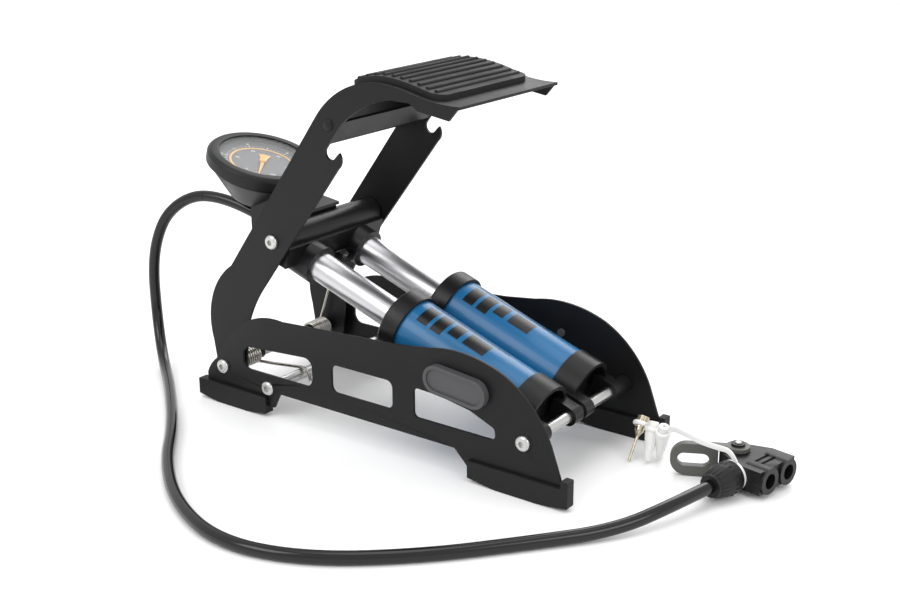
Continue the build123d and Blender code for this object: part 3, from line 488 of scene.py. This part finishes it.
def merged_copy(node, name):
    """A welded copy of a CAD node, at the same place."""
    obj = bpy.data.objects.new(name, frame["nodes"][node].data.copy())
    bpy.context.collection.objects.link(obj)
    bare(obj)
    bpy.ops.object.mode_set(mode="EDIT")
    bpy.ops.mesh.select_all(action="SELECT")
    bpy.ops.mesh.remove_doubles(threshold=0.000002)
    bpy.ops.object.mode_set(mode="OBJECT")
    bpy.ops.mesh.customdata_custom_splitnormals_clear()
    return obj


def soften(node, width, segments=2):
    """A copy of a CAD node with small round edges."""
    obj = merged_copy(node, node + "_soft")
    apply_modifier(
        obj,
        "BEVEL",
        width=width * MM,
        segments=segments,
        limit_method="ANGLE",
        angle_limit=radians(38),
        miter_outer="MITER_ARC",
    )
    bare(obj)
    bpy.ops.object.shade_smooth_by_angle(angle=radians(40))
    apply_modifier(obj, "WEIGHTED_NORMAL", mode="FACE_AREA", weight=100, keep_sharp=True)
    belongs(obj, BODY_OF[node], SLOT_OF[node], node)
    return obj


SOFT_EDGES = {
    "side_plate_left": 0.35,
    "side_plate_right": 0.35,
    "pedal_frame": 0.3,
    "pedal_brace": 0.3,
    "pedal_pad": 0.35,
    "foot_rear_left": 0.7,
    "foot_rear_right": 0.7,
    "foot_front_left": 0.7,
    "foot_front_right": 0.7,
    "badge_left": 0.5,
    "badge_right": 0.5,
    "barrel_cap_left": 0.6,
    "barrel_cap_right": 0.6,
    "barrel_collar_left": 0.5,
    "barrel_collar_right": 0.5,
    "head_block": 0.8,
    "head_cover": 0.4,
    "gauge_bezel": 0.9,
    "gauge_cup": 0.4,
    "valve_head_body": 0.7,
    "valve_lever": 0.7,
    "hose_nut": 0.4,
    "frame_screws": 0.25,
    "arm_screws": 0.25,
    "cone_adaptors": 0.25,
    "ball_needle": 0.15,
    "strap_ring": 0.4,
}
softened = {node: soften(node, width) for node, width in SOFT_EDGES.items()}
print("softened", len(softened), "pieces")

# %% [markdown]
# ## Springs
# Each spring is one wire: a leg that hooks over the anchor rod, nine close turns round the
# sleeve, and a leg that runs up the arm. A line through those points with a round bevel is the
# wire itself, and it is made a mesh.

# %% Torsion springs
WIRE_RADIUS, COIL_RADIUS = 1.2, 6.2
COIL_FIRST, COIL_LAST = 30.2, 49.6
PIVOT_HEIGHT, ROD_X, ROD_HEIGHT = 29.6, 45.3, 22.7
COIL_TURNS = 8


def spring_points(side):
    """The wire's line on one side of the pump, side being -1 or 1."""
    over = ROD_HEIGHT + 4.2 + WIRE_RADIUS + 0.2
    points = [
        (ROD_X + 9.5, side * (COIL_FIRST - 1), over - 9),
        (ROD_X + 8, side * (COIL_FIRST - 1), over - 4),
        (ROD_X + 5, side * (COIL_FIRST - 1), over - 0.8),
        (ROD_X + 1, side * (COIL_FIRST - 1), over),
        (ROD_X - 6, side * (COIL_FIRST - 0.6), over - 0.7),
        (18, side * (COIL_FIRST - 0.3), over - 3.2),
    ]
    steps = 28
    total = COIL_TURNS * steps + round(steps * 0.33)
    for i in range(total + 1):
        turn = radians(-90) - 2 * pi * i / steps
        y = side * (COIL_FIRST + (COIL_LAST - COIL_FIRST) * i / total)
        points.append((COIL_RADIUS * cos(turn), y, PIVOT_HEIGHT + COIL_RADIUS * sin(turn)))
    x, y, z = points[-1]
    points.append((x + 4.6, y + side * 0.3, z + 12.5))
    points.append((x + 9.7, y + side * 0.6, z + 28))
    points.append((x + 13.5, y + side * 0.8, z + 41.5))
    return points


def wire_mesh(name, points, radius):
    """A round wire through points of the drawing, as a mesh."""
    curve = bpy.data.curves.new(name, "CURVE")
    curve.dimensions = "3D"
    spline = curve.splines.new("POLY")
    spline.points.add(len(points) - 1)
    for spot, point in zip(spline.points, points):
        spot.co = (*place(*point), 1)
    curve.bevel_depth = radius * MM
    curve.bevel_resolution = 3
    curve.use_fill_caps = True
    obj = bpy.data.objects.new(name, curve)
    bpy.context.collection.objects.link(obj)
    bare(obj)
    bpy.ops.object.convert(target="MESH")
    bpy.ops.object.shade_smooth_by_angle(angle=radians(60))
    return obj


for side, label in ((-1, "left"), (1, "right")):
    wire = wire_mesh("spring_wire_" + label, spring_points(side), WIRE_RADIUS)
    wire.data.materials.append(FINISHES["spring_steel"])
    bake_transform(wire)
    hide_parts("spring_" + label)
print("springs wound")

# %% [markdown]
# ## Gauge face
# The dial is printed: white numbers and ticks and one orange band. Print has no thickness to
# speak of, but a shape a tenth of a millimetre high stays crisp where a texture would blur.
# `dial` turns a place on the face, in millimetres, into the frame.

# %% Dial print
DIAL = Matrix.Translation(place(-11, 0, 177)) @ Matrix.Rotation(radians(17), 4, "Y")
FACE_DEPTH = -6.5
REST_TURN = -53  # where the pointer rests, degrees round the dial


def dial(turn, radius, height=0.0):
    """A place on the dial's face, turn in degrees."""
    spot = Vector((radius * cos(radians(turn)), radius * sin(radians(turn)), FACE_DEPTH + height))
    return spot * MM


def settle(obj, matrix):
    """Moves a finished piece's place into its mesh."""
    obj.data.transform(matrix @ obj.matrix_world)
    obj.data.update()
    obj.matrix_world = Matrix.Identity(4)


def joined(name, parts):
    """Joins meshes into one piece."""
    bpy.ops.object.select_all(action="DESELECT")
    for part in parts:
        part.select_set(True)
    bpy.context.view_layer.objects.active = parts[0]
    bpy.ops.object.join()
    parts[0].name = name
    return parts[0]


def tick(turn, inner, outer, width):
    """One printed line from the inner to the outer radius."""
    bpy.ops.mesh.primitive_cube_add(size=1)
    line = bpy.context.object
    line.data.transform(Matrix.Diagonal(((outer - inner) * MM, width * MM, 0.1 * MM, 1)))
    middle = dial(turn, (inner + outer) / 2, 0.05)
    line.matrix_world = Matrix.Translation(middle) @ Matrix.Rotation(radians(turn), 4, "Z")
    settle(line, DIAL)
    return line


def printed_text(words, turn, radius, size):
    """A printed number that stands upright on the dial."""
    bpy.ops.object.text_add()
    text = bpy.context.object
    text.data.body = words
    text.data.size = size * MM
    text.data.align_x = "CENTER"
    text.data.align_y = "CENTER"
    text.data.extrude = 0.05 * MM
    text.data.resolution_u = 3
    bare(text)
    bpy.ops.object.convert(target="MESH")
    text.matrix_world = Matrix.Translation(dial(turn, radius, 0.06)) @ Matrix.Rotation(
        radians(REST_TURN + 90), 4, "Z"
    )
    settle(text, DIAL)
    return text


marks = []
for step in range(51):
    turn = REST_TURN - 30 - 6 * step
    major = step % 5 == 0
    marks.append(tick(turn, 26.2 if major else 26.8, 29 if major else 28.2, 0.7 if major else 0.35))
for number in range(0, 11, 2):
    marks.append(printed_text(str(number), REST_TURN - 30 - 30 * number, 31.3, 4.6))
for number in range(0, 11, 2):
    marks.append(printed_text(str(number * 15), REST_TURN - 30 - 30 * number, 19.5, 3.3))
for mark in marks:
    mark.data.materials.clear()
dial_print = joined("dial_print", marks)
belongs(dial_print, "head", "white_plastic")

# %% The orange band
BAND_OUT, BAND_IN = 25.3, 23.6
bpy.ops.mesh.primitive_circle_add(vertices=120, radius=BAND_OUT * MM, fill_type="NOTHING")
band = bpy.context.object
band.name = "dial_band"
bpy.ops.object.mode_set(mode="EDIT")
bpy.ops.mesh.select_all(action="SELECT")
bpy.ops.mesh.extrude_region_move()
bpy.ops.transform.resize(value=(BAND_IN / BAND_OUT, BAND_IN / BAND_OUT, 1))
bpy.ops.object.mode_set(mode="OBJECT")
mesh = bmesh.new()
mesh.from_mesh(band.data)
GAP_HALF = radians(30)  # half of the band's open stretch, round the pointer's rest
rest_way = Vector((cos(radians(REST_TURN)), sin(radians(REST_TURN)), 0))
gap = [f for f in mesh.faces if rest_way.angle(f.calc_center_median()) < GAP_HALF]
bmesh.ops.delete(mesh, geom=gap, context="FACES")
mesh.to_mesh(band.data)
mesh.free()
band.location = (0, 0, (FACE_DEPTH + 0.02) * MM)
bpy.context.view_layer.update()
settle(band, DIAL)
apply_modifier(band, "SOLIDIFY", thickness=0.1 * MM, offset=0)
belongs(band, "head", "orange_plastic")
print("dial printed with", len(dial_print.data.polygons), "faces")

# %% [markdown]
# The pointer is a thin orange blade with a broad tail that balances it, under a round hub. A
# flat outline is drawn once and given its thickness by Solidify.

# %% Pointer


def flat_piece(name, corners, thickness):
    """A flat plate from corners in its own plane, in millimetres."""
    bpy.ops.mesh.primitive_circle_add(vertices=len(corners), radius=MM, fill_type="NGON")
    obj = bpy.context.object
    obj.name = name
    for vertex, corner in zip(obj.data.vertices, corners):
        vertex.co = (corner[0] * MM, corner[1] * MM, 0)
    bare(obj)
    bpy.ops.object.mode_set(mode="EDIT")
    bpy.ops.mesh.select_all(action="SELECT")
    bpy.ops.mesh.normals_make_consistent(inside=False)
    bpy.ops.object.mode_set(mode="OBJECT")
    apply_modifier(obj, "SOLIDIFY", thickness=thickness * MM, offset=0)
    apply_modifier(obj, "BEVEL", width=0.12 * MM, segments=2, limit_method="ANGLE")
    return obj


blade = flat_piece(
    "blade",
    [(-11, -4.6), (-2, -1.6), (25.5, -0.35), (26.5, 0), (25.5, 0.35), (-2, 1.6), (-11, 4.6), (-12, 0)],
    0.5,
)
blade.location = (0, 0, (FACE_DEPTH + 1.4) * MM)
bpy.ops.mesh.primitive_cylinder_add(vertices=40, radius=2.9 * MM, depth=1.8 * MM)
hub = bpy.context.object
hub.location = (0, 0, (FACE_DEPTH + 2.0) * MM)
apply_modifier(hub, "BEVEL", width=0.5 * MM, segments=3, limit_method="ANGLE")
bpy.context.view_layer.update()
for part in (blade, hub):
    settle(part, DIAL @ Matrix.Rotation(radians(REST_TURN), 4, "Z"))
pointer = joined("pointer", [blade, hub])
bare(pointer)
bpy.ops.object.shade_smooth_by_angle(angle=radians(35))
belongs(pointer, "needle", "orange_plastic", "gauge_needle")
print("pointer with", len(pointer.data.polygons), "faces")

# %% [markdown]
# ## Barrel graphics
# Each barrel carries a printed sleeve. Plain bars stand in for its print. They follow the
# barrel's curve, so they start as an open cylinder a hair wider than the paint, and only the
# faces inside each bar are kept.

# %% Printed bars
PRINT = finish("print_black", (0.004, 0.004, 0.004), (0.007, 0.007, 0.007), (0.3, 0.4), 0.05)
FRONT_AXLE = (269, 38.3)
BARREL_Y, BARREL_RADIUS = 26.5, 22.0


def along_barrel(y):
    """A frame with z up along a barrel's axis and x to its top, from the front axle."""
    up = Vector((-cos(BARREL_LEAN), 0, sin(BARREL_LEAN)))
    top = Vector((sin(BARREL_LEAN), 0, cos(BARREL_LEAN)))
    turn = Matrix((top, up.cross(top), up)).transposed().to_4x4()
    return Matrix.Translation(place(FRONT_AXLE[0], y, FRONT_AXLE[1])) @ turn


def bar(y, low, high, first, last):
    """A printed patch between two places along the barrel and two angles from its top."""
    bpy.ops.mesh.primitive_cylinder_add(
        vertices=180, radius=(BARREL_RADIUS + 0.06) * MM, depth=(high - low) * MM, end_fill_type="NOTHING"
    )
    patch = bpy.context.object
    mesh = bmesh.new()
    mesh.from_mesh(patch.data)
    outside = []
    for face in mesh.faces:
        middle = face.calc_center_median()
        angle = degrees(atan2(middle.y, middle.x))
        if not first <= angle <= last:
            outside.append(face)
    bmesh.ops.delete(mesh, geom=outside, context="FACES")
    mesh.to_mesh(patch.data)
    mesh.free()
    patch.matrix_world = Matrix.Translation((0, 0, (low + high) / 2 * MM))
    settle(patch, along_barrel(y))
    bare(patch)
    bpy.ops.object.shade_smooth()
    return patch


for y, label in ((-BARREL_Y, "left"), (BARREL_Y, "right")):
    bars = [bar(y, 108, 117, -40, 4), bar(y, 96, 105, -40, 4), bar(y, 84, 93, -28, 4)]
    bars += [bar(y, 50, 117, 12, 15), bar(y, 50, 117, 18, 19.5), bar(y, 62, 80, -28, 4)]
    bars = joined("barrel_print_" + label, bars)
    bars.data.materials.clear()
    bars.data.materials.append(PRINT)
    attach(bars, "barrels")
print("barrels printed")

# %% [markdown]
# ## Ribs of the hose nut
# The nut is turned by hand, so it has grip ribs along its taper. One rib is shaped as a long
# bevelled bar and copied round the nut's axis.

# %% Nut ribs
RIB_COUNT = 20
RIB_WIDTH, RIB_LENGTH = 1.5, 14.5
RIB_OUT, RIB_ALONG = 9.55, -34.8  # a rib's middle from the nut's axis, and along the branch
NUT_TAPER = 12.5  # degrees


def valve_matrix():
    """The valve head's own axes, with its lever pin at the origin."""
    turn = Matrix.Rotation(VALVE_TURN, 4, "Z")
    return Matrix.Translation(place(*VALVE_PIN)) @ turn


def rib(turn):
    """One grip rib, turn in degrees round the nut."""
    bpy.ops.mesh.primitive_cube_add(size=1)
    obj = bpy.context.object
    obj.data.transform(Matrix.Diagonal((RIB_WIDTH * MM, RIB_LENGTH * MM, RIB_WIDTH * MM, 1)))
    apply_modifier(obj, "BEVEL", width=0.5 * MM, segments=2)
    taper = Matrix.Rotation(radians(NUT_TAPER), 4, "X")
    out = Matrix.Translation((0, 0, RIB_OUT * MM))
    round_axis = Matrix.Rotation(radians(turn), 4, "Y")
    middle = Matrix.Translation((BRANCH_X * MM, RIB_ALONG * MM, 0))
    obj.matrix_world = middle @ round_axis @ out @ taper
    settle(obj, valve_matrix())
    return obj


nut_ribs = joined("nut_ribs", [rib(360 / RIB_COUNT * k) for k in range(RIB_COUNT)])
bare(nut_ribs)
bpy.ops.object.shade_smooth_by_angle(angle=radians(40))
belongs(nut_ribs, "base", "black_plastic")
print("nut has", RIB_COUNT, "ribs")

# %% [markdown]
# ## Slots in the valve head
# Two slots across the top of the body lighten the moulding. A real mould leaves them as pockets,
# and a Boolean cuts them into the softened body with rounded bars as cutters.

# %% Cut the slots
SLOT_PLACES = (18.5, 23.5)  # from the lever pin towards the ports
SLOT_WIDTH, SLOT_LENGTH = 2.4, 15
CUTTER_HEIGHT, CUTTER_MIDDLE = 5, 9.2


def cutter(x):
    """A rounded bar that cuts a pocket from above."""
    bpy.ops.mesh.primitive_cube_add(size=1)
    obj = bpy.context.object
    obj.data.transform(Matrix.Diagonal((SLOT_WIDTH * MM, SLOT_LENGTH * MM, CUTTER_HEIGHT * MM, 1)))
    apply_modifier(obj, "BEVEL", width=SLOT_WIDTH * 0.35 * MM, segments=3)
    obj.matrix_world = Matrix.Translation((x * MM, 0, CUTTER_MIDDLE * MM))
    settle(obj, valve_matrix())
    return obj


valve_body = softened["valve_head_body"]
for x in SLOT_PLACES:
    tool = cutter(x)
    bare(valve_body)
    bpy.ops.object.modifier_add(type="BOOLEAN")
    cut = valve_body.modifiers[-1]
    cut.operation = "DIFFERENCE"
    cut.solver = "EXACT"
    cut.object = tool
    bpy.ops.object.modifier_apply(modifier=cut.name)
    bpy.data.objects.remove(tool)
print("valve head has", len(valve_body.data.polygons), "faces")

# %% [markdown]
# ## Lever rivet
# The lever pin's black boss has a bright riveted centre, a shallow dome.

# %% Rivet
RIVET_RADIUS, BOSS_TOP = 2.3, 13.6
bpy.ops.mesh.primitive_uv_sphere_add(segments=32, ring_count=16, radius=RIVET_RADIUS * MM)
lever_rivet = bpy.context.object
lever_rivet.name = "lever_rivet"
flat = Matrix.Diagonal((1, 1, 0.35, 1))
lever_rivet.matrix_world = Matrix.Translation((0, 0, BOSS_TOP * MM)) @ flat
settle(lever_rivet, valve_matrix())
bare(lever_rivet)
bpy.ops.object.shade_smooth()
belongs(lever_rivet, "base", "zinc_steel")
print("rivet set in the boss")

# %% [markdown]
# ## Strap
# The adaptors hang on a soft white strap that loops over the lever. It is a flat moulded band,
# so its line is drawn once and given a width and a thin edge, with a ring round each adaptor.

# %% Strap band
STRAP = [
    valve_point(BRANCH_X + 3, -21, 9.8),
    valve_point(BRANCH_X - 3, -19, 15.8),
    (363, 22, 28.6),
    (350, 22, 29.4),
    (336, 27, 29.6),
    (326, 31, 29.2),
    (318, 34.5, 24.6),
    (307, 36.5, 23.6),
    (297, 38.2, 22.4),
]
strap_line = bpy.data.curves.new("strap", "CURVE")
strap_line.dimensions = "3D"
strap_spline = strap_line.splines.new("NURBS")
strap_spline.points.add(len(STRAP) - 1)
for spot, point in zip(strap_spline.points, STRAP):
    spot.co = (*place(*point), 1)
strap_spline.order_u = 3
strap_spline.use_endpoint_u = True
strap_line.resolution_u = 10
strap_line.extrude = 1.5 * MM
strap_line.bevel_depth = 0.45 * MM
strap_line.bevel_resolution = 2
strap_line.twist_mode = "Z_UP"
strap_band = bpy.data.objects.new("strap_band", strap_line)
bpy.context.collection.objects.link(strap_band)
bare(strap_band)
bpy.ops.object.convert(target="MESH")

# tip, top and neck radius of the needle and of the two tapered adaptors
ADAPTORS = [
    ((297, 23, 1.2), (297, 42, 27), 4.9),
    ((308, 28, 2.2), (307, 37.5, 27.5), 4.5),
    ((312, 38, 2.2), (317, 33.5, 28), 4.5),
]
NECK = 5.5  # a ring's middle below its adaptor's top


def strap_ring(tip, top, radius):
    """A moulded ring round an adaptor's neck."""
    bpy.ops.mesh.primitive_torus_add(
        major_radius=radius * MM, minor_radius=1.2 * MM, major_segments=40, minor_segments=12
    )
    ring = bpy.context.object
    ring.data.transform(Matrix.Diagonal((1, 1, 1.35, 1)))
    start, end = place(*tip), place(*top)
    aim = (end - start).normalized()
    turn = aim.to_track_quat("Z", "Y").to_matrix().to_4x4()
    ring.matrix_world = Matrix.Translation(end - aim * NECK * MM) @ turn
    settle(ring, Matrix.Identity(4))
    return ring


rings = [strap_ring(*adaptor) for adaptor in ADAPTORS]
strap_band = joined("strap_band", [strap_band, *rings])
strap_band.data.materials.clear()
bare(strap_band)
bpy.ops.object.shade_smooth_by_angle(angle=radians(40))
belongs(strap_band, "base", "white_plastic", "adaptor_strap")
print("strap with", len(rings), "rings")

# %% [markdown]
# ## Thread of the ball needle
# The brass end screws into the valve head. Its thread is a stack of fine round rings, which at
# this size reads the same as a helix and stays light.

# %% Needle thread
THREAD_TURNS, THREAD_PITCH = 6, 0.75
start, end = place(*ADAPTORS[0][0]), place(*ADAPTORS[0][1])
aim = (end - start).normalized()
turns = []
for k in range(THREAD_TURNS):
    bpy.ops.mesh.primitive_torus_add(
        major_radius=3.85 * MM, minor_radius=0.42 * MM, major_segments=36, minor_segments=8
    )
    loop = bpy.context.object
    turn = aim.to_track_quat("Z", "Y").to_matrix().to_4x4()
    loop.matrix_world = Matrix.Translation(end - aim * (0.5 + THREAD_PITCH * k) * MM) @ turn
    settle(loop, Matrix.Identity(4))
    turns.append(loop)
thread = joined("needle_thread", turns)
bare(thread)
bpy.ops.object.shade_smooth()
belongs(thread, "base", "nickel_brass")
print("needle thread with", len(turns), "rings")

# %% [markdown]
# ## Rivets of the brace
# A domed rivet holds each tab of the brace to its arm. Each is a low round head with a soft rim.

# %% Rivets
BRACE_RIVET = (104.2, 56.1, 222.4)
BRACE_RIVET_RADIUS = 4.2


def rivet(side):
    """A rivet head on the outer face of an arm."""
    bpy.ops.mesh.primitive_uv_sphere_add(segments=32, ring_count=16, radius=BRACE_RIVET_RADIUS * MM)
    head = bpy.context.object
    head.data.transform(Matrix.Diagonal((1, 0.34, 1, 1)))
    x, y, z = BRACE_RIVET
    head.matrix_world = Matrix.Translation(place(x, side * y, z))
    settle(head, Matrix.Identity(4))
    return head


rivets = joined("brace_rivets", [rivet(-1), rivet(1)])
bare(rivets)
bpy.ops.object.shade_smooth()
belongs(rivets, "pedal", "black_steel")
print("brace riveted")

# %% [markdown]
# ## Cord pieces
# The two lengths of hose and what hangs on its end are one free cord in use. The pieces on it,
# listed below, are CAD nodes that keep their shape.

END_PIECES = ["hose_nut", "valve_head_body", "valve_lever", "lever_pin", "port_seals", "strap_ring"]
END_PIECES += ["ball_needle", "cone_adaptors"]
